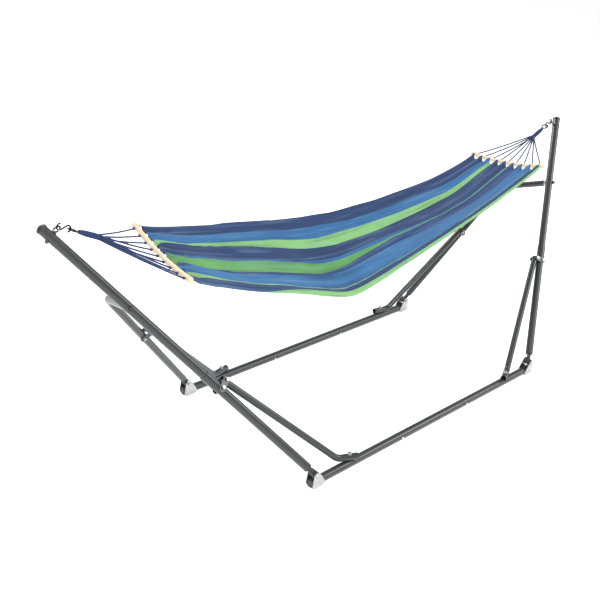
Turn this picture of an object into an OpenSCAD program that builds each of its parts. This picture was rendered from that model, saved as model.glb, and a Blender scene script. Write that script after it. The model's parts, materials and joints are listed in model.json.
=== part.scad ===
// Folding hammock stand with a striped cloth hammock.
// X runs along the floor rails, Y from the front rail to the back rail, Z is up.
// The origin lies on the floor, midway between the four corner hinges.
// The left end is modelled and the right end is its mirror image.

/* [Stand] */
// Distance between the left and right corners of the floor rails
rail_length = 1420; // [1200:10:1700]
// Distance between the axes of the two floor rails
rail_spacing = 786; // [660:2:940]
// Height of the mast tops above the floor
top_height = 1004; // [850:2:1200]
// How far each mast top leans out past the corner of the rails
top_reach = 782; // [650:2:930]
// How far the mast tops stand behind the middle of the stand
top_offset = 165; // [120:1:195]

/* [Tubes] */
// Outer diameter of the rails and the masts
mast_d = 35; // [30:0.5:42]
// Outer diameter of the side legs
leg_d = 30; // [26:0.5:34]
// Outer diameter of the braces
brace_d = 28; // [22:0.5:30]
// Wall thickness of every tube
wall = 1.5; // [1:0.1:2]
// Length of the lower mast tube, from the hinge to the collar
mast_lower = 550; // [480:5:640]
// Length of the swaged collar that holds the upper mast tube
collar_length = 55; // [40:1:70]
// Length of each outer rail tube, from the corner to the splice
rail_outer = 460; // [400:5:540]
// How far a splice spigot reaches into the next tube
spigot_length = 60; // [45:1:80]

/* [Legs and braces] */
// Distance from the mast top down to the bolt of the side leg
leg_drop = 375; // [320:5:430]
// Length of the bent arm at the top of the side leg
leg_arm = 261; // [220:1:300]
// Centreline radius of the bend in the side leg
leg_bend = 70; // [55:1:90]
// Distance from the corner to the bolt of each brace on its rail
brace_foot = 180; // [160:1:200]
// How far up the side leg the back brace is hung
leg_clevis = 470; // [430:5:520]
// Centreline radius of the bend in each brace
brace_bend = 55; // [45:1:65]

/* [Corner hinges] */
// Height of the hinge bolts above the floor
hinge_height = 58; // [56:1:66]
// Thickness of the bracket plates
plate = 2.5; // [2:0.1:3.5]
// Radius of the bracket's rounded corners
plate_r = 15; // [13:0.5:17]
// Diameter of the hinge bolts
hinge_bolt_d = 8; // [6:0.5:10]

/* [Hammock] */
// Distance between the two spreader bars
bed_length = 2124; // [1900:2:2250]
// Length of the spreader bars
bar_length = 392; // [360:2:440]
// Diameter of the spreader bars
bar_d = 24; // [20:0.5:28]
// Height of the left spreader bar above the floor
bar_height = 820; // [780:1:860]
// How much higher the right spreader bar hangs
bar_rise = 19; // [0:1:30]
// How far the hammock hangs off centre towards the right end
bed_shift = 22; // [0:1:40]
// Tilt of the left bar, front end down
left_tilt = 9; // [0:0.5:14]
// Tilt of the right bar, front end up
right_tilt = 5; // [0:0.5:8]
// Turn of the left bar, front end outwards
left_turn = 5; // [0:0.5:8]
// Turn of the right bar, front end outwards
right_turn = 8; // [0:0.5:10]
// Number of cords at each end
cord_count = 9; // [7:1:11]
// Diameter of the cords
cord_d = 5.5; // [4:0.5:6]
// Thickness of the cloth solid
cloth_t = 6; // [4:0.5:8]

/* [Hooks] */
// Wire diameter of the hooks and rings
wire_d = 6; // [5:0.5:7]
// Centreline radius of the eye bolt's ring
eye_r = 12; // [11:0.5:14]
// Centreline radius of the hook's bends
hook_r = 11; // [10:0.5:13]
// Centreline radius of the hammock's end ring
ring_r = 15; // [13:0.5:18]

/* [Hidden] */

$fn = 48;
STEEL = [0.27, 0.27, 0.28];
ZINC = [0.78, 0.78, 0.79];
BLACK = [0.08, 0.08, 0.09];
CORD = [0.13, 0.17, 0.36];
WOOD = [0.93, 0.88, 0.76];
CLOTH = [0.16, 0.35, 0.58];

// Clearances: tube in tube, pin in hole, and faces that only lie close together
slip = 0.2;
running = 0.08;
gap = 0.4;

// Vector helpers
function unit(v) = v / norm(v);
function across(v, axis) = unit(v - (v * axis) * axis);
function angle_between(a, b) = acos(unit(a) * unit(b));
function flip(v) = [-v.x, v.y, v.z];
function mix(a, b, t) = a + (b - a) * t;

// Key points of the left end
corner = [-rail_length / 2, 0, mast_d / 2];
front_y = -rail_spacing / 2;
back_y = rail_spacing / 2;
hinge_set_back = 12;
hinge_x = corner.x - hinge_set_back;
rail_overhang = 26;
mast_hinge = [hinge_x, front_y, hinge_height];
leg_hinge = [hinge_x, back_y, hinge_height];
mast_top = [corner.x - top_reach, top_offset, top_height];
up_mast = unit(mast_top - mast_hinge);
mast_length = norm(mast_top - mast_hinge);
leg_joint = mast_top - up_mast * leg_drop;
arm_dir = across(leg_hinge - mast_hinge, up_mast);
leg_knee = leg_joint + arm_dir * leg_arm;
up_leg = unit(leg_knee - leg_hinge);
leg_length = norm(leg_knee - leg_hinge);

// Where the tubes start above their hinges, and the black feet that carry them
foot_reach = 42;
foot_neck_d = 19;
foot_eye_d = 28;
foot_plug = 24;
foot_collar = 4;
bracket_gap = mast_d + 2 * slip;

// Braces: each hangs in a clevis and lies across its rail at the other end
clevis_reach = 36;
clevis_r = 13;
clevis_plate = 2.5;
clevis_bolt_d = 8;
clevis_below_collar = 24;
brace_head = 10;
brace_z = mast_d + brace_d / 2 + gap;
brace_tail = 36;
brace_flat = 50;
front_foot = [corner.x + brace_foot, front_y, brace_z];
back_foot = [corner.x + brace_foot, back_y, brace_z];
mast_clevis = mast_hinge + up_mast * (mast_lower - clevis_below_collar);
leg_clevis_point = leg_hinge + up_leg * leg_clevis;

// Level direction of a brace over its rail, and the point where it bends level
function brace_level(from, foot) = unit([foot.x - from.x, foot.y - from.y, 0]);
function brace_corner(from, foot) = foot - brace_level(from, foot) * brace_flat;

mast_clevis_dir = across(brace_corner(mast_clevis, front_foot) - mast_clevis, up_mast);
leg_clevis_dir = across(brace_corner(leg_clevis_point, back_foot) - leg_clevis_point, up_leg);
front_brace_pin = mast_clevis + mast_clevis_dir * clevis_reach;
back_brace_pin = leg_clevis_point + leg_clevis_dir * clevis_reach;

// Bolts of the braces through the rails
knob_bolt_d = 8;
knob_d = 22;

// Rail splices and their bolts
splice_x = rail_length / 2 - rail_outer;
spigot_root = 30;
splice_bolt_d = 6;
splice_bolt_x = splice_x - spigot_length / 2;

// Eye bolts near the mast tops
eye_drop = 34;
eye_wire = 7;
eye_foot = mast_top - up_mast * eye_drop;
eye_dir = across([1, 0, 0], up_mast);
eye_stand = mast_d / 2 + 5 + eye_r;
eye_centre = eye_foot + eye_dir * eye_stand;
eye_contact = eye_centre + eye_dir * eye_r;

// Middle of each spreader bar, both drawn at the left end
bar_y = eye_contact.y - 2;
function bar_middle(side) =
  side == "left" ? [bed_shift - bed_length / 2, bar_y, bar_height]
                 : [-bed_shift - bed_length / 2, bar_y, bar_height + bar_rise];

// The pull of the hammock runs from the eye down to the spreader bar
pull_target = (bar_middle("left") + bar_middle("right")) / 2;
pull = unit([pull_target.x - eye_contact.x, 0, pull_target.z - eye_contact.z]);
over_pull = cross([0, 1, 0], pull);
chain_slack = 1.2;
hook_centres = 30;
hook_top = eye_contact + pull * (hook_r - (eye_wire + wire_d) / 2 - chain_slack);
hook_bottom = hook_top + pull * hook_centres;
ring_contact = hook_bottom + pull * (hook_r - wire_d - chain_slack);
ring_centre = ring_contact + pull * ring_r;
lash_start = ring_centre + pull * (ring_r + wire_d / 2 + gap);
lash_length = 90;
lash_taper = 25;
cord_step = cord_d + gap;
lash_d = 2 * (cord_step * sqrt(2) + cord_d / 2) + 0.5;
lash_end = lash_start + pull * lash_length;
knot_d = 11;
knot_l = 9;

// ---------------------------------------------------------------- helpers

// Puts local +Z along a direction at a point
module aim(point, dir) {
  translate(point)
    rotate([0, acos(unit(dir).z), atan2(dir.y, dir.x)])
      children();
}

// Puts local axes x, y, z along three unit vectors at a point
module seat(point, x, y, z) {
  multmatrix([
    [x.x, y.x, z.x, point.x],
    [x.y, y.y, z.y, point.y],
    [x.z, y.z, z.z, point.z],
    [0, 0, 0, 1]
  ])
    children();
}

module rod(from, to, d) {
  aim(from, to - from) cylinder(h = norm(to - from), d = d);
}

// The bend is a hair thicker than the straights, which run a little way into it
bend_lap = 3;
bend_step = 0.2;

// A round bar bent once: from a, round the corner at b, to c
module bent_rod(a, b, c, d, bend, step) {
  into = unit(b - a);
  out = unit(c - b);
  turn = angle_between(into, out);
  tangent = bend * tan(turn / 2);
  side = across(out, into);
  first = norm(b - a) - tangent;
  second = norm(c - b) - tangent;
  seat(b - into * tangent + side * bend, -side, into, cross(-side, into)) {
    translate([bend, -first, 0])
      rotate([-90, 0, 0])
        cylinder(h = first + bend_lap, d = d);
    rotate_extrude(angle = turn)
      translate([bend, 0])
        circle(d = d + 2 * step);
    rotate([0, 0, turn])
      translate([bend, -bend_lap, 0])
        rotate([-90, 0, 0])
          cylinder(h = second + bend_lap, d = d);
  }
}

// A tube with the same bend and a bore through both ends
module bent_tube(a, b, c, d, bend) {
  difference() {
    bent_rod(a, b, c, d, bend, bend_step);
    bent_rod(a - unit(b - a), b, c + unit(c - b), d - 2 * wall, bend, -bend_step);
  }
}

module tube(from, to, d, t = wall) {
  dir = unit(to - from);
  difference() {
    rod(from, to, d);
    rod(from - dir, to + dir, d - 2 * t);
  }
}

// Left things as they are, right things mirrored
module on_side(side) {
  if (side == "left") children();
  else mirror([1, 0, 0]) children();
}

module hex_nut(d, h) {
  cylinder(h = h, d = d, $fn = 6);
}

// ---------------------------------------------------------------- floor rails

module splice_bolt_hole(y) {
  translate([-splice_bolt_x, y, mast_d / 2])
    rotate([90, 0, 0])
      cylinder(h = 2 * mast_d, d = splice_bolt_d + 2 * slip, center = true);
}

module rail_outer_tube(y) {
  spigot_d = mast_d - 2 * wall - 2 * slip;
  bore = spigot_d - 2 * wall;
  from = [corner.x - rail_overhang, y, mast_d / 2];
  shoulder = [-splice_x - spigot_root, y, mast_d / 2];
  mouth = [-splice_x, y, mast_d / 2];
  end = [-splice_x + spigot_length, y, mast_d / 2];
  color(STEEL) difference() {
    union() {
      rod(from, mouth, mast_d);
      rod(shoulder, end, spigot_d);
    }
    rod(from - [1, 0, 0], shoulder, mast_d - 2 * wall);
    rod(shoulder - [1, 0, 0], end + [1, 0, 0], bore);
    splice_bolt_hole(y);
    translate([corner.x + brace_foot, y, -1])
      cylinder(h = mast_d + 2, d = knob_bolt_d + 2 * slip);
    rivet_holes(y);
  }
}

module rail_middle_tube(y) {
  color(STEEL) difference() {
    tube([-splice_x + gap, y, mast_d / 2], [splice_x - gap, y, mast_d / 2], mast_d);
    splice_bolt_hole(y);
    mirror([1, 0, 0]) splice_bolt_hole(y);
  }
}

// Bolt through a splice, round head outside and nut inside the stand
module splice_bolt(y, out) {
  reach = mast_d / 2 + 0.3;
  translate([-splice_bolt_x, y, mast_d / 2]) rotate([90 * out, 0, 0]) {
    cylinder(h = 2 * reach, d = splice_bolt_d, center = true);
    translate([0, 0, reach]) cylinder(h = 3, d1 = splice_bolt_d + 6, d2 = splice_bolt_d + 2);
    translate([0, 0, -reach - 4]) hex_nut(splice_bolt_d + 5, 4);
  }
}

module splice_bolts() {
  color(ZINC)
    for (side = ["left", "right"]) on_side(side) {
      splice_bolt(front_y, 1);
      splice_bolt(back_y, -1);
    }
}

module rail_end_plug(y) {
  x = corner.x - rail_overhang;
  translate([x, y, mast_d / 2]) rotate([0, 90, 0]) {
    cylinder(h = 6, d = mast_d - 2 * wall - 2 * slip);
    translate([0, 0, -4]) cylinder(h = 4, d1 = mast_d - 6, d2 = mast_d - 0.5);
  }
}

module rail_end_plugs() {
  color(BLACK)
    for (side = ["left", "right"], y = [front_y, back_y])
      on_side(side) rail_end_plug(y);
}

// ---------------------------------------------------------------- corner hinges

rivet_d = 5;
rivet_x = [-14, 12];

module rivet_holes(y) {
  for (dx = rivet_x)
    translate([corner.x + dx, y, mast_d / 2])
      rotate([90, 0, 0])
        cylinder(h = mast_d + 20, d = rivet_d + 2 * slip, center = true);
}

module bracket_outline() {
  hull() {
    translate([corner.x - 16, plate_r]) circle(r = plate_r);
    translate([corner.x + 16, plate_r]) circle(r = plate_r);
    translate([hinge_x, hinge_height]) circle(r = plate_r);
  }
}

// Two plates, one on each side of the rail
module corner_bracket(y) {
  color(ZINC) difference() {
    for (side = [-1, 1])
      translate([0, y + side * (bracket_gap / 2 + plate / 2) + plate / 2, 0])
        rotate([90, 0, 0])
          linear_extrude(plate) bracket_outline();
    translate([hinge_x, y, hinge_height])
      rotate([90, 0, 0])
        cylinder(h = 2 * mast_d, d = hinge_bolt_d + 2 * slip, center = true);
    rivet_holes(y);
  }
}

// Rivets run through both plates and the rail
module bracket_rivet(x, y) {
  half = bracket_gap / 2 + plate;
  translate([x, y, mast_d / 2]) rotate([90, 0, 0]) {
    cylinder(h = 2 * half, d = rivet_d, center = true);
    for (side = [0, 1]) mirror([0, 0, side])
      translate([0, 0, half]) cylinder(h = 2, d1 = rivet_d + 4.5, d2 = rivet_d + 1);
  }
}

module bracket_rivets() {
  color(ZINC)
    for (side = ["left", "right"], y = [front_y, back_y], dx = rivet_x)
      on_side(side) bracket_rivet(corner.x + dx, y);
}

// Hinge bolt with a round head outside and a nut inside
module hinge_bolt(y, out) {
  half = bracket_gap / 2 + plate;
  translate([hinge_x, y, hinge_height]) rotate([90 * out, 0, 0]) {
    cylinder(h = 2 * half, d = hinge_bolt_d, center = true);
    translate([0, 0, half]) cylinder(h = 3.5, d1 = hinge_bolt_d + 6, d2 = hinge_bolt_d + 2);
    translate([0, 0, -half - 5]) hex_nut(hinge_bolt_d + 6, 5);
  }
}

module hinge_bolts() {
  color(ZINC)
    for (side = ["left", "right"]) on_side(side) {
      hinge_bolt(front_y, 1);
      hinge_bolt(back_y, -1);
    }
}

// Round nuts held inside the rails, one for each brace
module rail_nuts() {
  nut_r = knob_bolt_d / 2 + 2;
  nut_top = mast_d / 2 + sqrt(pow(mast_d / 2 - wall, 2) - pow(nut_r, 2)) - running;
  color(ZINC)
    for (side = ["left", "right"], foot = [front_foot, back_foot])
      on_side(side)
        translate([foot.x, foot.y, nut_top - 9]) difference() {
          cylinder(h = 9, r = nut_r);
          translate([0, 0, -1]) cylinder(h = 11, d = knob_bolt_d - 1);
        }
}

// ---------------------------------------------------------------- masts

module mast_lower_tube() {
  collar_start = mast_hinge + up_mast * mast_lower;
  collar_end = collar_start + up_mast * collar_length;
  color(STEEL) difference() {
    union() {
      rod(mast_hinge + up_mast * foot_reach, collar_start, mast_d);
      rod(collar_start - up_mast * 4, collar_end, mast_d + 2 * wall + 2 * slip);
    }
    rod(mast_hinge, collar_start + up_mast, mast_d - 2 * wall);
    rod(collar_start, collar_end + up_mast, mast_d + 2 * slip);
    clevis_hole(mast_clevis, up_mast, mast_clevis_dir);
  }
}

module mast_upper_tube() {
  color(STEEL) difference() {
    tube(mast_hinge + up_mast * (mast_lower + gap), mast_top, mast_d);
    rod(leg_joint - arm_dir * mast_d, leg_joint + arm_dir * mast_d, leg_bolt_d + 2 * slip);
    rod(eye_foot - eye_dir * mast_d, eye_foot + eye_dir * mast_d, eye_wire + 2 * slip);
  }
}

cap_d = mast_d + 3;
cap_rim = 6;
cap_dome = 9;
cap_skirt = 16;

// Radius of the sphere that closes the cap with the dome's height
cap_sphere_r = (pow(cap_d / 2, 2) + pow(cap_dome, 2)) / (2 * cap_dome);

// Domed plastic cap with a skirt inside the tube
module top_cap() {
  color(BLACK) aim(mast_top, up_mast) {
    translate([0, 0, -cap_skirt]) cylinder(h = cap_skirt + 1, d = mast_d - 2 * wall - 2 * slip);
    translate([0, 0, 0.1]) cylinder(h = cap_rim, d = cap_d);
    intersection() {
      translate([0, 0, cap_rim + 0.1 + cap_dome - cap_sphere_r]) sphere(r = cap_sphere_r, $fn = 64);
      translate([0, 0, cap_rim - 1]) cylinder(h = cap_dome + 2, d = cap_d);
    }
  }
}

// ---------------------------------------------------------------- side legs

leg_bolt_d = 8;
spacer_t = 7;
leg_end = leg_joint + arm_dir * (mast_d / 2 + spacer_t + gap);

module side_leg() {
  foot = leg_hinge + up_leg * foot_reach;
  color(STEEL) difference() {
    bent_tube(foot, leg_knee, leg_end, leg_d, leg_bend);
    clevis_hole(leg_clevis_point, up_leg, leg_clevis_dir);
  }
}

// Pale saddle between the mast and the end of the leg
module leg_spacer() {
  color(ZINC) difference() {
    rod(leg_joint + arm_dir * 4, leg_end - arm_dir * gap, leg_d - 2);
    rod(leg_joint - up_mast * 60, leg_joint + up_mast * 60, mast_d + 2 * slip);
    rod(leg_joint, leg_end + arm_dir, leg_bolt_d + 2 * slip);
  }
}

// Long bolt through the mast into the plugged end of the leg, with a domed nut in front
module leg_bolt() {
  front = leg_joint - arm_dir * (mast_d / 2 + 0.5);
  color(BLACK) {
    rod(leg_joint - arm_dir * (mast_d / 2 + 8), leg_end + arm_dir * 16, leg_bolt_d);
    aim(front, -arm_dir) {
      cylinder(h = 2, d = leg_bolt_d + 10);
      translate([0, 0, 2]) hex_nut(leg_bolt_d + 6, 7);
      translate([0, 0, 9]) cylinder(h = 4, d1 = leg_bolt_d + 3, d2 = leg_bolt_d - 1);
    }
    aim(leg_end + arm_dir * 2, arm_dir) cylinder(h = 16, d = leg_d - 2 * wall - 2 * slip);
  }
}

// ---------------------------------------------------------------- hinge feet

// A black plug in the end of a tube, with an eye for the hinge bolt
module hinge_foot(hinge, dir, d) {
  difference() {
    union() {
      translate(hinge) rotate([90, 0, 0]) cylinder(h = mast_d - 0.4, d = foot_eye_d, center = true);
      rod(hinge, hinge + dir * (foot_reach - 1), foot_neck_d);
      rod(hinge + dir * (foot_reach - foot_collar - gap), hinge + dir * (foot_reach - gap), d);
      rod(hinge + dir * (foot_reach - 2), hinge + dir * (foot_reach + foot_plug), d - 2 * wall - 2 * slip);
    }
    translate(hinge) rotate([90, 0, 0])
      cylinder(h = 2 * mast_d, d = hinge_bolt_d + 2 * running, center = true);
    // the neck is pared back where it would meet the bracket plates
    for (side = [-1, 1])
      translate([hinge.x, hinge.y + side * (mast_d / 2 + plate + 10.2), hinge.z])
        rotate([90, 0, 0])
          cylinder(h = 2 * plate + 20, r = plate_r + 12, center = true);
  }
}

module hinge_feet() {
  color(BLACK) {
    hinge_foot(mast_hinge, up_mast, mast_d);
    hinge_foot(leg_hinge, up_leg, leg_d);
  }
}

// ---------------------------------------------------------------- braces

module clevis_hole(point, dir, reach) {
  pin = cross(dir, reach);
  rod(point - pin * mast_d, point + pin * mast_d, clevis_bolt_d + 2 * slip);
}

// Two plates that straddle the tube and carry the top of a brace
module clevis(point, dir, reach, d) {
  pin = cross(dir, reach);
  inner = d / 2 + slip;
  for (side = [-1, 1])
    difference() {
      seat(point + pin * (side * (inner + clevis_plate / 2)), reach, cross(pin, reach), pin)
        translate([0, 0, -clevis_plate / 2])
          linear_extrude(clevis_plate) hull() {
            translate([-4, 0]) circle(r = clevis_r);
            translate([clevis_reach, 0]) circle(r = clevis_r - 1);
          }
      clevis_hole(point, dir, reach);
      clevis_hole(point + reach * clevis_reach, dir, reach);
    }
}

module clevises() {
  color(STEEL) {
    clevis(mast_clevis, up_mast, mast_clevis_dir, mast_d);
    clevis(leg_clevis_point, up_leg, leg_clevis_dir, leg_d);
  }
}

module clevis_bolt(point, pin, d) {
  half = d / 2 + slip + clevis_plate + running;
  rod(point - pin * (half + 7), point + pin * (half + 3), clevis_bolt_d);
  aim(point + pin * half, pin) cylinder(h = 4, d1 = clevis_bolt_d + 5, d2 = clevis_bolt_d + 1);
  aim(point - pin * half, -pin) hex_nut(clevis_bolt_d + 6, 6);
}

module clevis_bolts() {
  mast_pin = cross(up_mast, mast_clevis_dir);
  leg_pin = cross(up_leg, leg_clevis_dir);
  color(ZINC) {
    clevis_bolt(mast_clevis, mast_pin, mast_d);
    clevis_bolt(front_brace_pin, mast_pin, mast_d);
    clevis_bolt(leg_clevis_point, leg_pin, leg_d);
    clevis_bolt(back_brace_pin, leg_pin, leg_d);
  }
}

// A brace hangs from its pin, bends level over the rail and ends just past it
module brace(clevis_point, pin_point, dir, reach, foot) {
  level = brace_level(clevis_point, foot);
  bend_point = brace_corner(clevis_point, foot);
  down = unit(bend_point - pin_point);
  pin = cross(dir, reach);
  color(STEEL) difference() {
    bent_tube(pin_point - down * brace_head, bend_point, foot + level * brace_tail, brace_d, brace_bend);
    rod(pin_point - pin * mast_d, pin_point + pin * mast_d, clevis_bolt_d + 2 * running);
    translate([foot.x, foot.y, brace_z - brace_d])
      cylinder(h = 2 * brace_d, d = knob_bolt_d + 2 * slip);
  }
}

// Bolt with a washer and a low round head, which clamps a brace on its rail
module knob(foot) {
  top = brace_z + brace_d / 2 + gap;
  color(ZINC) translate([foot.x, foot.y, 0]) {
    translate([0, 0, brace_z - brace_d / 2 + 0.5]) cylinder(h = brace_d + gap, d = knob_bolt_d);
    translate([0, 0, top]) cylinder(h = 2, d = knob_d - 2);
    translate([0, 0, top + 2]) hex_nut(knob_bolt_d + 6, 6);
  }
}

// ---------------------------------------------------------------- hooks and rings

module wire_ring(centre, normal, r, d) {
  aim(centre, normal) rotate_extrude() translate([r, 0]) circle(d = d);
}

module eye_bolt() {
  color(ZINC) {
    wire_ring(eye_centre, cross(eye_dir, [0, 1, 0]), eye_r, eye_wire);
    rod(eye_foot - eye_dir * (mast_d / 2 + 9), eye_centre - eye_dir * (eye_r - 1), eye_wire);
    aim(eye_foot + eye_dir * (mast_d / 2 + slip), eye_dir) cylinder(h = 3, d = 18);
    aim(eye_foot - eye_dir * (mast_d / 2 + slip), -eye_dir) hex_nut(14, 6);
  }
}

// Open S hook in the upright plane: the top bend hangs in the eye, the bottom one takes the ring
module hook() {
  lean = acos(2 * hook_r / hook_centres);
  out = pull * cos(lean) + over_pull * sin(lean);
  seat(hook_top, pull, over_pull, cross(pull, over_pull)) {
    rotate([0, 0, lean - 2])
      rotate_extrude(angle = 222)
        translate([hook_r, 0])
          circle(d = wire_d + 0.2);
    translate([hook_centres, 0, 0])
      rotate([0, 0, lean + 178])
        rotate_extrude(angle = 212)
          translate([hook_r, 0])
            circle(d = wire_d + 0.2);
  }
  rod(hook_top + out * hook_r, hook_bottom - out * hook_r, wire_d);
}

module hooks() {
  color(ZINC)
    for (side = ["left", "right"]) on_side(side) hook();
}

module end_rings() {
  color(ZINC)
    for (side = ["left", "right"]) on_side(side)
      wire_ring(ring_centre, over_pull, ring_r, wire_d);
}

// ---------------------------------------------------------------- cords

// Direction along a bar, from its back end to its front end
function bar_lie(turn, tilt) = [-sin(turn), -cos(turn) * cos(tilt), sin(tilt)];
function bar_dir(side) = side == "left" ? bar_lie(left_turn, -left_tilt) : bar_lie(right_turn, right_tilt);

// Each bar bows down between its ends, along an arc
bar_bow = 18;
bar_arc = (pow(bar_length / 2, 2) + pow(bar_bow, 2)) / (2 * bar_bow);
function bar_up(side) = across([0, 0, 1], bar_dir(side));
function bar_point(side, t) =
  let (s = t * bar_length / 2)
  bar_middle(side) + bar_dir(side) * s
    + bar_up(side) * (bar_arc - sqrt(pow(bar_arc, 2) - s * s) - bar_bow / 2);

// Where cord i meets the bar, as a share of half the bar, from back to front
function cord_share(i) = -0.9 + 1.8 * i / (cord_count - 1);
function cord_knot(side, i) = bar_point(side, cord_share(i)) - [bar_d / 2 + knot_l + 1, 0, 0];
function cord_end(side, i) = cord_knot(side, i) - [cord_d * 0.4, 0, 0];

// The cords leave the bundle in rows of three
function cord_start(side, i) =
  lash_end + pull * (cord_d * 0.4)
    + [0, -1, 0] * (cord_step * (floor(3 * i / cord_count) - 1))
    + over_pull * (cord_step * (i % 3 - 1));

module cords(side) {
  color(CORD)
    on_side(side)
      for (i = [0 : cord_count - 1])
        rod(cord_start(side, i), cord_end(side, i), cord_d);
}

// The cords are doubled back through the ring and bound into one bundle
module lashing() {
  color(CORD) {
    aim(lash_start, pull) {
      cylinder(h = lash_taper, d1 = lash_d - 8, d2 = lash_d);
      translate([0, 0, lash_taper]) cylinder(h = lash_length - lash_taper, d = lash_d);
    }
  }
}

module cord_knots() {
  color(BLACK)
    for (side = ["left", "right"]) on_side(side)
      for (i = [0 : cord_count - 1])
        translate(cord_knot(side, i))
          rotate([0, 90, 0])
            cylinder(h = knot_l, d1 = knot_d - 3, d2 = knot_d);
}

// ---------------------------------------------------------------- spreader bars

// Bowed round bar with a slightly thicker rounded end on each side
module spreader_bar(side) {
  half = asin(bar_length / 2 / bar_arc);
  up = bar_up(side);
  centre = bar_middle(side) + up * (bar_arc - bar_bow / 2);
  color(WOOD)
    on_side(side) {
      seat(centre, -up, bar_dir(side), cross(-up, bar_dir(side)))
        rotate([0, 0, -half])
          rotate_extrude(angle = 2 * half)
            translate([bar_arc, 0])
              circle(d = bar_d);
      for (t = [-1, 1])
        translate(bar_point(side, t)) sphere(d = bar_d + 4);
    }
}

// ---------------------------------------------------------------- cloth bed

bed_steps = 40;
bed_ribs = 12;
bed_end_gap = bar_d / 2 + 2;
bed_far_drop = 106;
bed_near_drop = 315;
bed_belly = 60;
bed_taper = 700;
bed_edge = 0.46;
front_lip = 12;
// The far edge hangs in a curve, lowest right of the middle
far_low_x = 120;
far_curve = 0.000107;
// The near edge hangs in a rounded V, lowest left of the middle
near_low_x = -210;
near_fall_left = 0.325;
near_fall_right = 0.275;
near_round = 20;

// Height of the far and the near edge at x
function far_z(x) = bar_height - bed_far_drop + far_curve * pow(x - far_low_x, 2);
function near_z(x) =
  let (fall = x < near_low_x ? near_fall_left : near_fall_right)
  bar_height - bed_near_drop + norm([fall * (x - near_low_x), near_round]);

function ease(t) = t * t * (3 - 2 * t);

// How close x is to a bar, from 0 in the open bed to 1 at the bar
function near_bar(x) = ease(max(0, (abs(x) - bed_taper) / (bed_length / 2 - bed_taper)));

// Where the cloth meets a bar, in its true place at either end
function bed_end(side, v) =
  let (p = bar_point(side, 2 * bed_edge * (2 * v - 1)) + [bed_end_gap, 0, 0])
  side == "left" ? p : flip(p);

// A point of the cloth: u runs from the left bar (-1) to the right bar (1),
// v from the far edge (0) to the near edge (1)
function bed_point(u, v) =
  let (
    x = u * (bed_length / 2 - bed_end_gap) + bed_shift,
    near = near_bar(u * bed_length / 2),
    bar = bed_end(u < 0 ? "left" : "right", v),
    far = [x, bar_y + bed_edge * bar_length, far_z(x)],
    front = [x, bar_y - bed_edge * bar_length - front_lip * (1 - near), near_z(x)],
    sag = bed_belly * (1 - near) * 4 * v * (1 - v),
    open = mix(far, front, v) - [0, 0, sag]
  )
  mix(open, bar, near);

// The same surface moved down by the cloth's thickness
function bed_under(u, v) = bed_point(u, v) - [0, 0, cloth_t];

function bed_u(i) = 2 * i / bed_steps - 1;

module hammock_bed() {
  row = bed_ribs + 1;
  count = (bed_steps + 1) * row;
  top = [for (i = [0 : bed_steps], j = [0 : bed_ribs]) bed_point(bed_u(i), j / bed_ribs)];
  under = [for (i = [0 : bed_steps], j = [0 : bed_ribs]) bed_under(bed_u(i), j / bed_ribs)];
  upper = [for (i = [0 : bed_steps - 1], j = [0 : bed_ribs - 1])
    let (a = i * row + j) each [[a, a + row, a + 1], [a + 1, a + row, a + row + 1]]];
  lower = [for (f = upper) [f[2] + count, f[1] + count, f[0] + count]];
  sides = [for (i = [0 : bed_steps - 1])
    let (a = i * row, b = a + bed_ribs)
    each [
      [a, a + count, a + row], [a + row, a + count, a + row + count],
      [b, b + row, b + count], [b + row, b + row + count, b + count]
    ]];
  ends = [for (j = [0 : bed_ribs - 1])
    let (a = j, b = bed_steps * row + j)
    each [
      [a, a + 1, a + count], [a + 1, a + 1 + count, a + count],
      [b, b + count, b + 1], [b + 1, b + count, b + 1 + count]
    ]];
  color(CLOTH) polyhedron(concat(top, under), concat(upper, lower, sides, ends), convexity = 6);
}

// ---------------------------------------------------------------- nodes

rail_outer_tube(front_y);  // front_rail_left
rail_middle_tube(front_y);  // front_rail_middle
on_side("right") rail_outer_tube(front_y);  // front_rail_right
rail_outer_tube(back_y);  // back_rail_left
rail_middle_tube(back_y);  // back_rail_middle
on_side("right") rail_outer_tube(back_y);  // back_rail_right
rail_end_plugs();
corner_bracket(front_y);  // front_left_bracket
on_side("right") corner_bracket(front_y);  // front_right_bracket
corner_bracket(back_y);  // back_left_bracket
on_side("right") corner_bracket(back_y);  // back_right_bracket
bracket_rivets();
hinge_bolts();
rail_nuts();
splice_bolts();
mast_lower_tube();  // left_mast_lower
mast_upper_tube();  // left_mast_upper
side_leg();  // left_leg
hinge_feet();  // left_hinge_feet
top_cap();  // left_top_cap
leg_bolt();  // left_leg_bolt
leg_spacer();  // left_leg_spacer
eye_bolt();  // left_eye_bolt
clevises();  // left_clevises
clevis_bolts();  // left_clevis_bolts
on_side("right") mast_lower_tube();  // right_mast_lower
on_side("right") mast_upper_tube();  // right_mast_upper
on_side("right") side_leg();  // right_leg
on_side("right") hinge_feet();  // right_hinge_feet
on_side("right") top_cap();  // right_top_cap
on_side("right") leg_bolt();  // right_leg_bolt
on_side("right") leg_spacer();  // right_leg_spacer
on_side("right") eye_bolt();  // right_eye_bolt
on_side("right") clevises();  // right_clevises
on_side("right") clevis_bolts();  // right_clevis_bolts
brace(mast_clevis, front_brace_pin, up_mast, mast_clevis_dir, front_foot);  // front_left_brace
on_side("right") brace(mast_clevis, front_brace_pin, up_mast, mast_clevis_dir, front_foot);  // front_right_brace
brace(leg_clevis_point, back_brace_pin, up_leg, leg_clevis_dir, back_foot);  // back_left_brace
on_side("right") brace(leg_clevis_point, back_brace_pin, up_leg, leg_clevis_dir, back_foot);  // back_right_brace
knob(front_foot);  // front_left_knob
on_side("right") knob(front_foot);  // front_right_knob
knob(back_foot);  // back_left_knob
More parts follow.
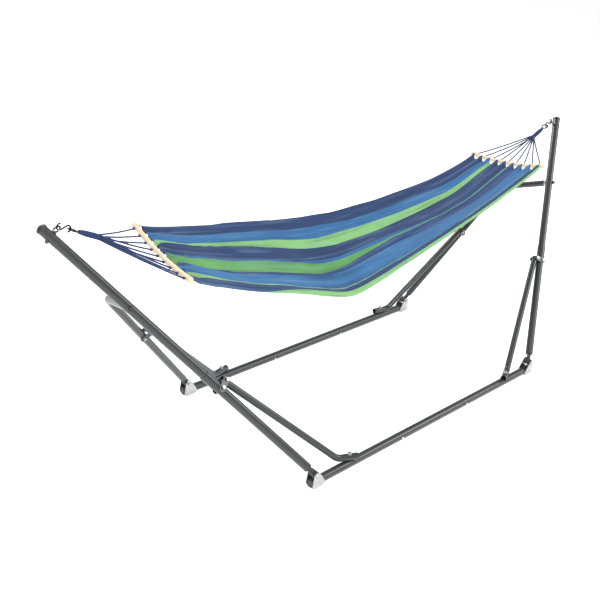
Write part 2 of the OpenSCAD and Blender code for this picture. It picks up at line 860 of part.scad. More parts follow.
on_side("right") knob(back_foot);  // back_right_knob
hooks();
end_rings();
lashing();  // left_lashing
on_side("right") lashing();  // right_lashing
cords("left");  // left_cords
cords("right");  // right_cords
cord_knots();
spreader_bar("left");  // left_spreader_bar
spreader_bar("right");  // right_spreader_bar
hammock_bed();
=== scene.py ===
"""Hammock on a folding stand: finishes for the steel frame, and the cloth, cords and wood hung in it."""

import json
import math

import bpy
from mathutils import Matrix, Vector, noise


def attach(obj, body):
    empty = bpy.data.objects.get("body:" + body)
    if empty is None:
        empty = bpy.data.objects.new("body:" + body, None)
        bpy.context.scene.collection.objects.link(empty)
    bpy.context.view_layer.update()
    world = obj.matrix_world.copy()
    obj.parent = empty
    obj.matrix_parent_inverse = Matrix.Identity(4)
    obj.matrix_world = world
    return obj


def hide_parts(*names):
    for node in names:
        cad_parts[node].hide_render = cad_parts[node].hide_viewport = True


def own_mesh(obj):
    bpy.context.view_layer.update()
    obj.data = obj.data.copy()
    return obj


bl_info = {
    "name": "Hammock stand",
    "version": (1, 0, 0),
    "blender": (4, 5, 0),
    "location": "View3D > Sidebar > Hammock",
    "description": "Builds the soft parts of a hammock on its stand and finishes every piece",
    "category": "Object",
}

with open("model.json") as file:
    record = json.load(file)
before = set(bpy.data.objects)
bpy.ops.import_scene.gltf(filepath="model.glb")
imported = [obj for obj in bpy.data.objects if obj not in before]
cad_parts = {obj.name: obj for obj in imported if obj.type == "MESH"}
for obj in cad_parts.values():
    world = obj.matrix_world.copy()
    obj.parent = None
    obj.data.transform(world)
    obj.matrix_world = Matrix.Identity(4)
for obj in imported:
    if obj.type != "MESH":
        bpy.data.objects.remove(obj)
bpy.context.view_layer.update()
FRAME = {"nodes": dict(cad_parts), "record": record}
SLOTS = {s["node"]: s["material_slot"] for s in FRAME["record"]["subparts"]}

# Sizes shared with the steel frame, in metres
BED_LENGTH = 2.124
BED_SHIFT = 0.022
BAR_LENGTH = 0.392
BAR_BOW = 0.018
BAR_D = 0.024
HOOK_LINE = Vector((-1.43441, 0.16442, 1.00301))
BAR_Y = HOOK_LINE.y - 0.002
BAR_HEIGHT = {"left": 0.820, "right": 0.839}
BAR_TURN = {"left": (5.0, -9.0), "right": (8.0, 5.0)}
CORDS = 9
CORD_D = 0.0055
CORD_STEP = CORD_D + 0.0004
LASH_LENGTH = 0.09
# Shares of the bar's length that the cords and the cloth take up
TIE_SPAN, CLOTH_SPAN = 0.9, 0.92
LASH_R = CORD_STEP * math.sqrt(2) + CORD_D / 2 + 0.00025


# ------------------------------------------------------------------ small helpers


def mix(a, b, t):
    """Value between a and b."""
    return a + (b - a) * t


def ease(t):
    """Smooth step from 0 to 1."""
    t = min(1.0, max(0.0, t))
    return t * t * (3 - 2 * t)


def flip(p):
    """The same point at the other end of the stand."""
    return Vector((-p.x, p.y, p.z))


def placed(side, p):
    """A point drawn at the left end, in its true place."""
    return p if side == "left" else flip(p)


def bar_middle(side):
    """Middle of a spreader bar, drawn at the left end."""
    shift = BED_SHIFT if side == "left" else -BED_SHIFT
    return Vector((shift - BED_LENGTH / 2, BAR_Y, BAR_HEIGHT[side]))


def bar_dir(side):
    """Direction from a bar's back end to its front end, drawn at the left end."""
    turn, tilt = (math.radians(a) for a in BAR_TURN[side])
    return Vector((-math.sin(turn), -math.cos(turn) * math.cos(tilt), math.sin(tilt)))


def bar_point(side, t):
    """A point of the bowed bar: t runs from -1 at its back end to 1 at its front end."""
    along = bar_dir(side)
    up = Vector((0, 0, 1))
    up = (up - up.dot(along) * along).normalized()
    arc = ((BAR_LENGTH / 2) ** 2 + BAR_BOW**2) / (2 * BAR_BOW)
    s = t * BAR_LENGTH / 2
    return bar_middle(side) + along * s + up * (arc - math.sqrt(arc * arc - s * s) - BAR_BOW / 2)


PULL_TO = (bar_middle("left") + bar_middle("right")) / 2
PULL = Vector((PULL_TO.x - HOOK_LINE.x, 0, PULL_TO.z - HOOK_LINE.z)).normalized()
OVER = Vector((0, 1, 0)).cross(PULL)
HOOK_R, HOOK_CENTRES, RING_R, WIRE_D = 0.011, 0.030, 0.015, 0.006
EYE_WIRE_D, CHAIN_SLACK = 0.007, 0.0012
HOOK_TOP = HOOK_LINE + PULL * (HOOK_R - (EYE_WIRE_D + WIRE_D) / 2 - CHAIN_SLACK)
HOOK_BOTTOM = HOOK_TOP + PULL * HOOK_CENTRES
RING_CENTRE = HOOK_BOTTOM + PULL * (HOOK_R - WIRE_D - CHAIN_SLACK + RING_R)
LASH_START = RING_CENTRE + PULL * (RING_R + WIRE_D / 2 + 0.0004)
LASH_END = LASH_START + PULL * LASH_LENGTH


def cord_share(i):
    """Where cord i meets its bar, from -TIE_SPAN at the back to TIE_SPAN at the front."""
    return -TIE_SPAN + 2 * TIE_SPAN * i / (CORDS - 1)


def cord_start(i):
    """Where cord i leaves the bundle, in rows of three."""
    row, column = i % 3 - 1, 3 * i // CORDS - 1
    return LASH_END + Vector((0, -CORD_STEP * column, 0)) + OVER * (CORD_STEP * row)


def new_object(name, verts, faces, uvs=None, material=None):
    """A smooth mesh object with a UV pair for each vertex."""
    mesh = bpy.data.meshes.new(name)
    mesh.from_pydata([tuple(v) for v in verts], [], faces)
    mesh.update()
    if uvs is not None:
        layer = mesh.uv_layers.new(name="UVMap")
        for loop in mesh.loops:
            layer.data[loop.index].uv = uvs[loop.vertex_index]
    mesh.shade_smooth()
    if material:
        mesh.materials.append(material)
    obj = bpy.data.objects.new(name, mesh)
    bpy.context.scene.collection.objects.link(obj)
    return obj


def sweep(path, radius, sides, verts, faces, uvs):
    """Adds a closed tube along path; radius is a number or a function of (share, angle).

    UVs are the share of the way round and the length along the tube in metres."""
    start = len(verts)
    side = None
    length = 0.0
    last = len(path) - 1
    for k, p in enumerate(path):
        ahead = (path[min(last, k + 1)] - path[max(0, k - 1)]).normalized()
        if side is None:
            side = ahead.orthogonal().normalized()
        side = (side - side.dot(ahead) * ahead).normalized()
        third = ahead.cross(side)
        if k:
            length += (p - path[k - 1]).length
        for j in range(sides):
            a = math.tau * j / sides
            r = radius(k / last, a) if callable(radius) else radius
            verts.append(p + (side * math.cos(a) + third * math.sin(a)) * r)
            uvs.append((j / sides, length))
    for k in range(last):
        for j in range(sides):
            a, b = start + k * sides + j, start + k * sides + (j + 1) % sides
            faces.append((a, b, b + sides, a + sides))
    faces.append(tuple(start + j for j in reversed(range(sides))))
    faces.append(tuple(start + last * sides + j for j in range(sides)))


def tube_object(name, tubes, material, sides=12):
    """One object made of several swept tubes, each a (path, radius) pair."""
    verts, faces, uvs = [], [], []
    for path, radius in tubes:
        sweep(path, radius, sides, verts, faces, uvs)
    return new_object(name, verts, faces, uvs, material)


# ------------------------------------------------------------------ shader writing


class Flow:
    """A number running through a material; sums and products add Math nodes."""

    def __init__(self, shade, socket):
        self.shade, self.socket = shade, socket

    def _math(self, operation, a, b):
        return self.shade.add("ShaderNodeMath", {"operation": operation}, {0: a, 1: b})

    def __add__(self, other):
        return self._math("ADD", self, other)

    def __sub__(self, other):
        return self._math("SUBTRACT", self, other)

    def __mul__(self, other):
        return self._math("MULTIPLY", self, other)

    def __truediv__(self, other):
        return self._math("DIVIDE", self, other)

    def __rsub__(self, other):
        return self._math("SUBTRACT", other, self)

    __radd__ = __add__
    __rmul__ = __mul__

    def sine(self):
        return self._math("SINE", self, 0.0)

    def size(self):
        return self._math("ABSOLUTE", self, 0.0)

    def above(self, level):
        return self._math("GREATER_THAN", self, level)

    def power(self, n):
        return self._math("POWER", self, n)

    def most(self, other):
        return self._math("MAXIMUM", self, other)


class Shade:
    """Builds one material around a Principled BSDF."""

    def __init__(self, name, **fixed):
        self.material = bpy.data.materials.new(name)
        self.material.use_nodes = True
        self.tree = self.material.node_tree
        self.shader = self.tree.nodes["Principled BSDF"]
        for socket, value in fixed.items():
            self.shader.inputs[socket.replace("_", " ")].default_value = value

    def add(self, kind, settings=None, inputs=None, out=0):
        node = self.tree.nodes.new(kind)
        for key, value in (settings or {}).items():
            if key == "stops":
                ramp = node.color_ramp
                while len(ramp.elements) < len(value):
                    ramp.elements.new(0.5)
                for element, (at, colour) in zip(ramp.elements, value):
                    element.position, element.color = at, colour
            elif key == "interpolation":
                node.color_ramp.interpolation = value
            else:
                setattr(node, key, value)
        for key, value in (inputs or {}).items():
            if isinstance(value, Flow):
                self.tree.links.new(value.socket, node.inputs[key])
            else:
                node.inputs[key].default_value = value
        return Flow(self, node.outputs[out])

    def feed(self, socket, flow):
        self.tree.links.new(flow.socket, self.shader.inputs[socket])

    def place(self, name="Object"):
        return self.add("ShaderNodeTexCoord", out={"Object": 3, "UV": 2}[name])

    def noise(self, where, scale, detail=2.0, rough=0.5):
        settings = {"noise_dimensions": "3D"}
        inputs = {"Vector": where, "Scale": scale, "Detail": detail, "Roughness": rough}
        return self.add("ShaderNodeTexNoise", settings, inputs)

    def split(self, where):
        node = self.add("ShaderNodeSeparateXYZ", inputs={0: where}).socket.node
        return [Flow(self, s) for s in node.outputs]

    def blend(self, amount, a, b):
        return self.add("ShaderNodeMix", {"data_type": "RGBA"}, {0: amount, 6: a, 7: b}, out=2)

    def bump(self, height, strength, distance):
        inputs = {"Strength": strength, "Distance": distance, "Height": height}
        normal = self.add("ShaderNodeBump", inputs=inputs)
        self.feed("Normal", normal)


def tone(colour, factor):
    """A colour made darker or lighter."""
    return tuple(min(1.0, c * factor) for c in colour[:3]) + (1.0,)


# ------------------------------------------------------------------ settings


def colour(name, text, value):
    return bpy.props.FloatVectorProperty(
        name=name, description=text, default=value, subtype="COLOR", size=3, min=0, max=1
    )


def length(name, text, value, low, high):
    return bpy.props.FloatProperty(
        name=name, description=text, default=value, min=low, max=high, unit="LENGTH", subtype="DISTANCE"
    )


class StandFinish(bpy.types.PropertyGroup):
    """Colours of the steel frame and its fittings."""

    paint: colour("Paint", "Powder coat on the tubes", (0.021, 0.0215, 0.0225))
    zinc: colour("Zinc", "Plated plates, bolts, hooks and rings", (0.42, 0.42, 0.43))
    plastic: colour("Plastic", "Plugs, feet and caps", (0.018, 0.018, 0.02))


class HammockFinish(bpy.types.PropertyGroup):
    """Colours and small sizes of the cloth, cords and bars."""

    navy: colour("Navy", "Dark stripes", (0.012, 0.029, 0.105))
    blue: colour("Blue", "Middle blue stripes", (0.025, 0.13, 0.31))
    indigo: colour("Indigo", "Stripe in the deep fold", (0.016, 0.042, 0.15))
    green: colour("Green", "Middle green stripes", (0.11, 0.33, 0.065))
    lime: colour("Light green", "Narrow light stripes and the front border", (0.23, 0.50, 0.15))
    cord: colour("Cord", "Cords, bundles and knots", (0.010, 0.019, 0.065))
    wood: colour("Wood", "Spreader bars", (0.56, 0.48, 0.34))
    cloth_thickness: length("Cloth", "Thickness of the cloth", 0.0014, 0.0008, 0.003)
    gather: length("Gather", "Height of the folds at the bars", 0.009, 0.0, 0.02)


# ------------------------------------------------------------------ materials


def paint_material(base):
    s = Shade("frame_paint", Metallic=0.2, Coat_Weight=0.3, Coat_Roughness=0.14)
    where = s.place()
    cloud = s.noise(where, 6.0, 3.0)
    grain = s.noise(where, 1400.0, 2.0)
    scuff = s.noise(where, 55.0, 6.0, 0.75)
    worn = (scuff - 0.62).most(0.0) * 3.0
    s.feed("Base Color", s.blend(cloud * 0.7 + worn * 0.6, tone(base, 0.82), tone(base, 1.45)))
    s.feed("Roughness", cloud * 0.12 + grain * 0.08 + 0.27)
    s.bump(grain + scuff * 0.4, 0.12, 0.0004)
    return s.material


def zinc_material(base, name="zinc"):
    s = Shade(name, Metallic=1.0)
    where = s.place()
    cells = s.add("ShaderNodeTexVoronoi", {"feature": "F1"}, {"Vector": where, "Scale": 420.0}, out=0)
    cloud = s.noise(where, 90.0, 4.0)
    plated = s.blend(cells * 12.0 * 0.05 + cloud * 0.6, tone(base, 0.72), tone(base, 1.12))
    # the zinc above 0.93 m, at the eye bolts near the mast tops, is made darker than the plates at the floor
    high = s.split(where)[2].above(0.93)
    s.feed("Base Color", s.blend(high * 0.75, plated, tone(base, 0.16)))
    s.feed("Roughness", cloud * 0.25 + 0.22)
    s.bump(cloud, 0.15, 0.0003)
    return s.material


def plastic_material(base):
    s = Shade("black_plastic", Specular_IOR_Level=0.45)
    where = s.place()
    grain = s.noise(where, 1700.0, 3.0)
    cloud = s.noise(where, 25.0, 3.0)
    s.feed("Base Color", s.blend(cloud, tone(base, 0.8), tone(base, 1.6)))
    s.feed("Roughness", grain * 0.18 + 0.42)
    s.bump(grain, 0.3, 0.0003)
    return s.material


def cord_material(base, name="navy_cord", turns=2.0, pitch=0.011):
    """Braided cord: two crossing sets of strands, with a lighter fleck."""
    s = Shade(name, Sheen_Weight=0.08, Sheen_Roughness=0.5, Specular_IOR_Level=0.25)
    around, along, _ = s.split(s.place("UV"))
    a = ((around * turns + along / pitch) * math.tau).sine()
    b = ((around * turns - along / pitch) * math.tau).sine()
    braid = a.size().most(b.size())
    fuzz = s.noise(s.place(), 900.0, 3.0)
    # painted shade: the colour follows the braid's height, darker in the gaps between the strands and lighter
    # on their crests
    s.feed("Base Color", s.blend(braid.power(3.0) * 0.7 + fuzz * 0.3, tone(base, 0.55), tone(base, 1.9)))
    s.feed("Roughness", fuzz * 0.2 + 0.68)
    s.bump(braid + fuzz * 0.4, 0.7, 0.0008)
    return s.material


def wood_material(base):
    """Bare light wood with grain along the bar."""
    s = Shade("bar_wood", Specular_IOR_Level=0.35)
    around, along, _ = s.split(s.place("UV"))
    stretched = s.add("ShaderNodeCombineXYZ", inputs={0: around * 9.0, 1: along * 14.0})
    grain = s.noise(stretched, 3.0, 6.0, 0.65)
    fine = s.noise(s.add("ShaderNodeCombineXYZ", inputs={0: around * 60.0, 1: along * 40.0}), 2.0, 3.0)
    dark = (grain - 0.45).most(0.0) * 2.2
    s.feed("Base Color", s.blend(dark + fine * 0.25, tone(base, 1.12), (0.42, 0.30, 0.16, 1)))
    s.feed("Roughness", fine * 0.2 + 0.48)
    s.bump(grain + fine * 0.5, 0.35, 0.0006)
    return s.material


def cloth_material(look):
    """Woven stripes: UV x is the length in metres, UV y counts the stripes as shares of all."""
    navy, blue, indigo = tone(look.navy, 1), tone(look.blue, 1), tone(look.indigo, 1)
    green, lime = tone(look.green, 1), tone(look.lime, 1)
    order = [navy, blue, lime, navy, blue, green, indigo, blue, lime, navy, lime]
    s = Shade("striped_cloth", Sheen_Weight=0.04, Sheen_Roughness=0.45, Specular_IOR_Level=0.15)
    along, stripe, _ = s.split(s.place("UV"))
    where = s.place()
    wander = (s.noise(where, 260.0, 2.0) - 0.5) * 0.006
    stops = [(i / STRIPES, c) for i, c in enumerate(order)]
    colours = s.add(
        "ShaderNodeValToRGB", {"interpolation": "CONSTANT", "stops": stops}, {0: stripe + wander}
    )
    cloud = s.noise(where, 7.0, 4.0, 0.6)
    slub = s.noise(s.add("ShaderNodeCombineXYZ", inputs={0: along * 5.0, 1: stripe * 260.0}), 2.0, 4.0, 0.7)
    shaded_fold_streak = s.noise(s.add("ShaderNodeCombineXYZ", inputs={0: along * 1.6, 1: stripe * 17.0}), 1.6, 3.0, 0.55)
    weft = (along * (math.tau / 0.0032)).sine()
    warp = (stripe * (math.tau * 24.0 / 0.1)).sine()
    weave = weft * warp
    faded = s.blend(slub * 0.10, colours, (0.30, 0.42, 0.52, 1))
    # painted shade: where the cloud is low the stripes are darkened in soft patches towards a deep navy
    shaded = s.blend((1 - cloud) * 0.40, faded, (0.008, 0.022, 0.07, 1))
    # painted highlight and painted shade: long streaks along the bed lighten the cloth on the fold crests and
    # darken it in the fold hollows
    lit = s.blend((shaded_fold_streak - 0.52).most(0.0) * 1.1, shaded, (0.20, 0.36, 0.50, 1))
    deep = s.blend((0.48 - shaded_fold_streak).most(0.0) * 2.2, lit, (0.006, 0.018, 0.05, 1))
    s.feed("Base Color", s.blend(weave.size() * 0.05, deep, (0.25, 0.35, 0.45, 1)))
    s.feed("Roughness", slub * 0.15 + 0.74)
    s.bump(weave * 0.3 + slub * 0.8 + cloud * 1.2 + shaded_fold_streak * 3.0, 0.6, 0.0022)
    return s.material


# ------------------------------------------------------------------ cloth shape

# Far and near edges of the hung cloth in the open bed, and its sag between them
FAR_LOW, NEAR_LOW, SAG = 0.714, 0.509, 0.060
FAR_LOW_X, FAR_CURVE = 0.12, 0.107
NEAR_BEND_X, FALL_LEFT, FALL_RIGHT, NEAR_ROUND = -0.21, 0.325, 0.275, 0.02
# Distance from the middle at which the cloth starts to close in on its bars, and its end gap there
TAPER_FROM, END_GAP = 0.7, 0.014
LIP = 0.12
STRIPES = 11

# Places of the stripe borders across the cloth, at stations along it from the left bar to the right bar
BORDERS = [
    (-1.00, (0.15, 0.30, 0.325, 0.52, 0.56, 0.72, 0.745, 0.90, 0.97, 1.12)),
    (-0.85, (0.11, 0.235, 0.255, 0.43, 0.44, 0.62, 0.64, 0.86, 0.90, 1.12)),
    (-0.70, (0.09, 0.19, 0.215, 0.38, 0.39, 0.55, 0.575, 0.85, 0.872, 1.12)),
    (-0.40, (0.08, 0.165, 0.24, 0.39, 0.405, 0.56, 0.59, 0.85, 0.853, 0.965)),
    (-0.10, (0.085, 0.20, 0.305, 0.45, 0.49, 0.575, 0.64, 0.90, 0.902, 1.00)),
    (0.20, (0.12, 0.22, 0.335, 0.46, 0.50, 0.515, 0.63, 0.93, 0.932, 1.04)),
    (0.50, (0.12, 0.25, 0.34, 0.56, 0.565, 0.57, 0.70, 0.95, 0.952, 1.05)),
    (0.80, (0.17, 0.27, 0.32, 0.58, 0.585, 0.60, 0.75, 0.94, 0.942, 1.04)),
    (1.00, (0.18, 0.30, 0.35, 0.58, 0.585, 0.61, 0.75, 0.92, 0.922, 1.02)),
]


def stripe_at(u, v):
    """Stripe coordinate at u along the bed and v across it, as a share of all stripes."""
    for (u0, row0), (u1, row1) in zip(BORDERS, BORDERS[1:]):
        if u <= u1:
            break
    t = min(1.0, max(0.0, (u - u0) / (u1 - u0)))
    edges = [0.0] + [mix(a, b, t) for a, b in zip(row0, row1)] + [1.0 + LIP]
    k = next((k for k in range(STRIPES - 1) if v <= edges[k + 1]), STRIPES - 1)
    share = (v - edges[k]) / max(1e-6, edges[k + 1] - edges[k])
    return (k + min(0.999, max(0.001, share))) / STRIPES


def near_bar(u):
    """0 in the open bed, 1 at a bar."""
    return ease((abs(u) * BED_LENGTH / 2 - TAPER_FROM) / (BED_LENGTH / 2 - TAPER_FROM))


def bed_point(u, v, gather):
    """A point of the cloth; v above 1 is the front lip that hangs over."""
    side = "left" if u < 0 else "right"
    inner = min(v, 1.0)
    near = near_bar(u)
    half = CLOTH_SPAN / 2 * BAR_LENGTH
    x = u * (BED_LENGTH / 2 - END_GAP) + BED_SHIFT
    held_up = 0.016 * math.exp(-(((x + 0.62) / 0.30) ** 2))
    far = Vector((x, BAR_Y + half, FAR_LOW + FAR_CURVE * (x - FAR_LOW_X) ** 2 + held_up))
    fall = FALL_LEFT if x < NEAR_BEND_X else FALL_RIGHT
    rise = math.sqrt((fall * (x - NEAR_BEND_X)) ** 2 + NEAR_ROUND**2)
    front = Vector((x, BAR_Y - half - 0.012 * (1 - near), NEAR_LOW + rise + 0.8 * held_up))
    sag = SAG * (1 - near) * 4 * inner * (1 - inner)
    open_point = far.lerp(front, inner) - Vector((0, 0, sag))
    # between its ties the end of the cloth draws back from the bar
    phase = (2 * inner - 1) * CLOTH_SPAN / TIE_SPAN * math.pi * (CORDS - 1)
    tie = abs(math.sin(phase / 2))
    back = 0.013 + (0.005 if side == "left" else 0.017) * tie
    held = placed(side, bar_point(side, CLOTH_SPAN * (2 * inner - 1)) + Vector((back, 0, -0.002)))
    p = open_point.lerp(held, near)
    # gathers that start at the ties and die away along the bed
    wave = math.cos(phase)
    drift = noise.noise(Vector((u * 2.2, inner * 3.0, 4.0)))
    deep = gather * (near**2 + 0.28 * near + 0.05)
    p.z += deep * (wave + 0.5 * drift)
    # long soft creases along the bed, with a deeper one where the folded layer meets the middle
    p.z += 0.006 * noise.noise(Vector((x * 1.3, inner * 9.0, 1.5))) * (1 - 0.6 * near)
    p.z += 0.0025 * noise.noise(Vector((x * 6.0, inner * 22.0, 7.5)))
    # crisp narrow creases, some along the bed and some slanting from the left bar
    ridge = 1 - abs(noise.noise(Vector((x * 1.1, inner * 7.0, 21.0)))) * 5
    p.z -= 0.004 * max(0.0, ridge) ** 2 * (1 - 0.5 * near)
    slant = 1 - abs(noise.noise(Vector((x * 5.0 + inner * 9.0, inner * 5.0 - x * 2.0, 33.0)))) * 6
    p.z -= 0.0028 * max(0.0, slant) ** 2 * ease(0.2 - x)
    crease = math.exp(-(((inner - 0.60 + 0.03 * u) / 0.022) ** 2)) * ease(0.55 - abs(u - 0.25))
    fold = math.exp(-(((inner - 0.79 - 0.05 * (u + 0.7)) / 0.018) ** 2)) * ease(1.0 - abs(u + 0.72) * 2)
    p.z += 0.008 * fold - 0.020 * crease
    if v > 1:
        out = (v - 1) / LIP
        p.y -= 0.010 * math.sin(out * math.pi / 2)
        p.z -= 0.015 * (1 - math.cos(out * math.pi / 2)) * (1 - 0.5 * near) + 0.004 * out
        p.z += 0.002 * noise.noise(Vector((x * 7.0, 3.0, 9.0))) * out
    return p


# ------------------------------------------------------------------ operators


class HAMMOCK_OT_finish_stand(bpy.types.Operator):
    """Give the steel frame, its plates and its plugs their finishes"""

    bl_idname = "hammock.finish_stand"
    bl_label = "Finish the stand"

    def execute(self, context):
        look = context.scene.stand_finish
        finishes = {
            "frame_paint": paint_material(look.paint),
            "zinc": zinc_material(look.zinc),
            "black_plastic": plastic_material(look.plastic),
        }
        for node, slot in SLOTS.items():
            if slot in finishes:
                obj = FRAME["nodes"][node]
                for holder in obj.material_slots:
                    holder.material = finishes[slot]
        return {"FINISHED"}


class HAMMOCK_OT_make_bed(bpy.types.Operator):
    """Make the striped cloth, gathered on its two bars"""

    bl_idname = "hammock.make_bed"
    bl_label = "Make the cloth bed"

    def execute(self, context):
        look = context.scene.hammock_finish
        columns, rows, lip_rows = 220, 100, 9
        across = [j / rows for j in range(rows + 1)] + [1 + LIP * (j + 1) / lip_rows for j in range(lip_rows)]
        verts, uvs = [], []
        for i in range(columns + 1):
            u = 2 * i / columns - 1
            for v in across:
                verts.append(bed_point(u, v, look.gather))
                uvs.append((u * BED_LENGTH / 2, stripe_at(u, v)))
        row = len(across)
        faces = [
            (i * row + j, i * row + j + 1, (i + 1) * row + j + 1, (i + 1) * row + j)
            for i in range(columns)
            for j in range(row - 1)
        ]
        bed = new_object("cloth_bed", verts, faces, uvs, cloth_material(look))
        thick = bed.modifiers.new("thickness", "SOLIDIFY")
        thick.thickness, thick.offset = look.cloth_thickness, 0.0
        graph = context.evaluated_depsgraph_get()
        mesh = bpy.data.meshes.new_from_object(bed.evaluated_get(graph))
        bed.modifiers.clear()
        bed.data = mesh
        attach(bed, "hammock")
        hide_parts("hammock_bed")
        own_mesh(bed)
        return {"FINISHED"}


class HAMMOCK_OT_make_bars(bpy.types.Operator):
    """Make the two bowed wooden spreader bars"""

    bl_idname = "hammock.make_bars"
    bl_label = "Make the spreader bars"

    def execute(self, context):
        wood = wood_material(context.scene.hammock_finish.wood)
        for side in ("left", "right"):
            seed = 3.0 if side == "left" else 11.0
            steps = 96
            path = [placed(side, bar_point(side, 2 * k / steps - 1)) for k in range(steps + 1)]
            ahead = (path[-1] - path[-2]).normalized()
            path.append(path[-1] + ahead * 0.006)
            path.insert(0, path[0] - (path[1] - path[0]).normalized() * 0.006)

            def radius(share, angle, seed=seed):
                t = 2 * share - 1
                swell = 0.0006 * math.cos(t / TIE_SPAN * math.pi * (CORDS - 1))
                knob = 0.0022 * math.exp(-(((abs(t) - 0.97) / 0.035) ** 2))
                spot = Vector((share * 14, math.cos(angle) * 1.5, seed + math.sin(angle)))
                rough = 0.0009 * noise.noise(spot)
                end = math.sqrt(max(0.02, 1 - max(0.0, (abs(t) - 0.965) / 0.036) ** 2))
                return (BAR_D / 2 - 0.0015 + swell + knob + rough) * end

            bar = tube_object(side + "_bar", [(path, radius)], wood, sides=28)
            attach(bar, "hammock")
            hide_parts(side + "_spreader_bar")
            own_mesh(bar)
        return {"FINISHED"}


class HAMMOCK_OT_make_cords(bpy.types.Operator):
    """Make the taut cords, their knots, the ties of the cloth and the bound bundles"""

    bl_idname = "hammock.make_cords"
    bl_label = "Make the cords"

    def execute(self, context):
        cord = cord_material(context.scene.hammock_finish.cord)
        bound = cord_material(context.scene.hammock_finish.cord, "bound_cord", turns=3.0, pitch=0.02)
        for side in ("left", "right"):
            runs, knots, ties = [], [], []
            for i in range(CORDS):
                start = cord_start(i) - PULL * 0.004
                hole = bar_point(side, cord_share(i))
                end = hole - Vector((BAR_D / 2 - 0.001, 0, 0))
                run = end - start
                path = []
                for k in range(17):
                    t = k / 16
                    p = start + run * t
                    p += Vector((0, 0, -0.004 * 4 * t * (1 - t)))
                    path.append(placed(side, p))
                runs.append((path, CORD_D * 0.58))
                # a small knot against the outside of the bar
                ahead = run.normalized()
                core = [placed(side, end - ahead * (0.011 - 0.0011 * k)) for k in range(11)]

                def knot(share, angle):
                    lump = math.sqrt(max(0.03, 1 - (2 * share - 1) ** 2))
                    return 0.0054 * lump * (1 + 0.12 * math.sin(angle + share * 9))

                knots.append((core, knot))
                # a short tie from the bar to the end of the cloth
                share = max(-1.0, min(1.0, cord_share(i) / CLOTH_SPAN))
                u = -1.0 if side == "left" else 1.0
                cloth = bed_point(u * 0.992, (share + 1) / 2, context.scene.hammock_finish.gather)
                through = placed(side, hole + Vector((BAR_D / 2 - 0.004, 0, 0)))
                ties.append(([through.lerp(cloth, t / 4) for t in range(5)], CORD_D / 2))
            for name, tubes, sides, node in (
                ("cords", runs, 14, side + "_cords"),
                ("knots", knots, 14, "cord_knots"),
                ("ties", ties, 12, None),
            ):
                piece = tube_object(side + "_" + name, tubes, cord, sides)
                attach(piece, "hammock")
                if node:
                    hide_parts(node)
                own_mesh(piece)
            steps = 90
            path = [placed(side, LASH_START + PULL * (LASH_LENGTH * k / steps)) for k in range(steps + 1)]

            def wrap(share, angle):
                taper = mix(LASH_R - 0.004, LASH_R - 0.0006, ease(share * 2.2))
                ridge = abs(math.sin(share * math.pi * 15 + angle / 2))
                tip = math.sqrt(max(0.1, min(1.0, share * 14)))
                return (taper - 0.0022 + 0.0022 * ridge) * tip

            bundle = tube_object(side + "_bundle", [(path, wrap)], bound, sides=36)
            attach(bundle, "hammock")
            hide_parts(side + "_lashing")
            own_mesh(bundle)
        return {"FINISHED"}


class HAMMOCK_OT_make_hooks(bpy.types.Operator):
    """Make the S hooks and the end rings of the hammock"""

    bl_idname = "hammock.make_hooks"
    bl_label = "Make the hooks"

    def execute(self, context):
        steel = zinc_material(tone(context.scene.stand_finish.zinc, 0.26), "hook_steel")
        lean = math.acos(2 * HOOK_R / HOOK_CENTRES)

        def bend(centre, angle):
            return centre + (PULL * math.cos(angle) + OVER * math.sin(angle)) * HOOK_R

        def wire(share, angle):
            nearest = min(share, 1 - share)
            return WIRE_D / 2 * math.sqrt(min(1.0, 0.25 + nearest * 60))

        for side in ("left", "right"):
            hook = [bend(HOOK_TOP, lean + math.radians(220 - 5 * k)) for k in range(45)]
            hook += [bend(HOOK_BOTTOM, lean + math.radians(180 + 5 * k)) for k in range(43)]
            turns = [math.tau * k / 48 for k in range(49)]
            ring = [RING_CENTRE + (PULL * math.cos(a) + Vector((0, math.sin(a), 0))) * RING_R for a in turns]
            for name, path, radius, node in (
                ("hook", hook, wire, "hooks"),
                ("ring", ring, WIRE_D / 2, "end_rings"),
            ):
                piece = tube_object(side + "_" + name, [([placed(side, q) for q in path], radius)], steel, 16)
                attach(piece, "hammock")
                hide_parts(node)
                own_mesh(piece)
        return {"FINISHED"}


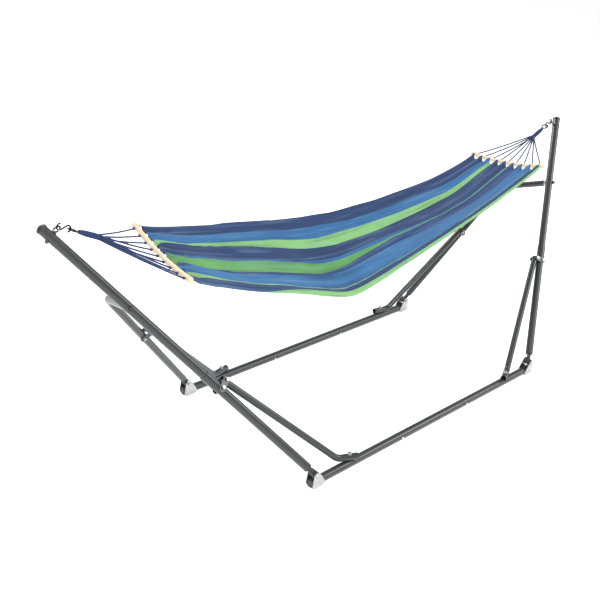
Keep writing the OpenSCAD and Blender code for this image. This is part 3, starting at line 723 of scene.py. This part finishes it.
class HAMMOCK_OT_set_stage(bpy.types.Operator):
    """Set the floor, the soft lights and the camera"""

    bl_idname = "hammock.set_stage"
    bl_label = "Set the stage"

    def execute(self, context):
        scene = context.scene
        s = Shade("floor_paper", Roughness=0.9, Specular_IOR_Level=0.1)
        speck = s.noise(s.place(), 3.0, 2.0)
        s.feed("Base Color", s.blend(speck, (0.88, 0.88, 0.88, 1), (0.91, 0.91, 0.91, 1)))
        s.shader.inputs["Emission Color"].default_value = (1, 1, 1, 1)
        s.shader.inputs["Emission Strength"].default_value = 0.42
        size = 40.0
        corners = [(-size, -size, 0), (size, -size, 0), (size, size, 0), (-size, size, 0)]
        floor = new_object("floor", [Vector(c) for c in corners], [(0, 1, 2, 3)], None, s.material)
        floor.location.z = -0.0005
        world = bpy.data.worlds.new("soft_room")
        world.use_nodes = True
        world.node_tree.nodes["Background"].inputs[0].default_value = (1, 1, 1, 1)
        world.node_tree.nodes["Background"].inputs[1].default_value = 0.62
        scene.world = world
        scene.view_settings.view_transform = "Standard"
        for name, spot, power, width in (
            ("key", (-3.2, -4.0, 5.2), 430, 1.8),
            ("fill", (3.5, -3.0, 3.0), 130, 2.5),
            ("back", (0.5, 4.5, 4.0), 240, 2.0),
        ):
            light = bpy.data.lights.new(name, "AREA")
            light.energy, light.size = power, width
            holder = bpy.data.objects.new(name, light)
            holder.location = spot
            aim = Vector((0, 0.1, 0.5)) - Vector(spot)
            holder.rotation_euler = aim.to_track_quat("-Z", "Y").to_euler()
            scene.collection.objects.link(holder)
        yaw, pitch, roll = 0.806955, 0.456656, 0.103131
        ahead = Vector((math.sin(yaw) * math.cos(pitch), math.cos(yaw) * math.cos(pitch), -math.sin(pitch)))
        right = Vector((math.cos(yaw), -math.sin(yaw), 0))
        up = right.cross(ahead)
        across = right * math.cos(roll) + up * math.sin(roll)
        above = up * math.cos(roll) - right * math.sin(roll)
        lens = bpy.data.cameras.new("camera")
        lens.lens, lens.sensor_width = 53.24, 36.0
        camera = bpy.data.objects.new("camera", lens)
        turn = Matrix((across, above, -ahead)).transposed().to_4x4()
        camera.matrix_world = Matrix.Translation((-2.7507, -2.1713, 2.0948)) @ turn
        scene.collection.objects.link(camera)
        scene.camera = camera
        return {"FINISHED"}


class HAMMOCK_PT_panel(bpy.types.Panel):
    """Sidebar panel with every piece and its settings"""

    bl_label = "Hammock stand"
    bl_space_type = "VIEW_3D"
    bl_region_type = "UI"
    bl_category = "Hammock"

    def draw(self, context):
        for group in (context.scene.stand_finish, context.scene.hammock_finish):
            box = self.layout.box()
            for name in group.bl_rna.properties.keys():
                if name not in ("rna_type", "name"):
                    box.prop(group, name)
        for operator in PIECES:
            self.layout.operator(operator.bl_idname)


PIECES = (
    HAMMOCK_OT_set_stage,
    HAMMOCK_OT_finish_stand,
    HAMMOCK_OT_make_bars,
    HAMMOCK_OT_make_bed,
    HAMMOCK_OT_make_cords,
    HAMMOCK_OT_make_hooks,
)
CLASSES = (StandFinish, HammockFinish) + PIECES + (HAMMOCK_PT_panel,)


def register():
    for cls in CLASSES:
        bpy.utils.register_class(cls)
    bpy.types.Scene.stand_finish = bpy.props.PointerProperty(type=StandFinish)
    bpy.types.Scene.hammock_finish = bpy.props.PointerProperty(type=HammockFinish)


def unregister():
    del bpy.types.Scene.hammock_finish
    del bpy.types.Scene.stand_finish
    for cls in reversed(CLASSES):
        bpy.utils.unregister_class(cls)


def main():
    """Build every piece in order."""
    register()
    bpy.ops.hammock.set_stage()
    bpy.ops.hammock.finish_stand()
    bpy.ops.hammock.make_bars()
    bpy.ops.hammock.make_bed()
    bpy.ops.hammock.make_cords()
    bpy.ops.hammock.make_hooks()


if __name__ == "__main__":
    main()
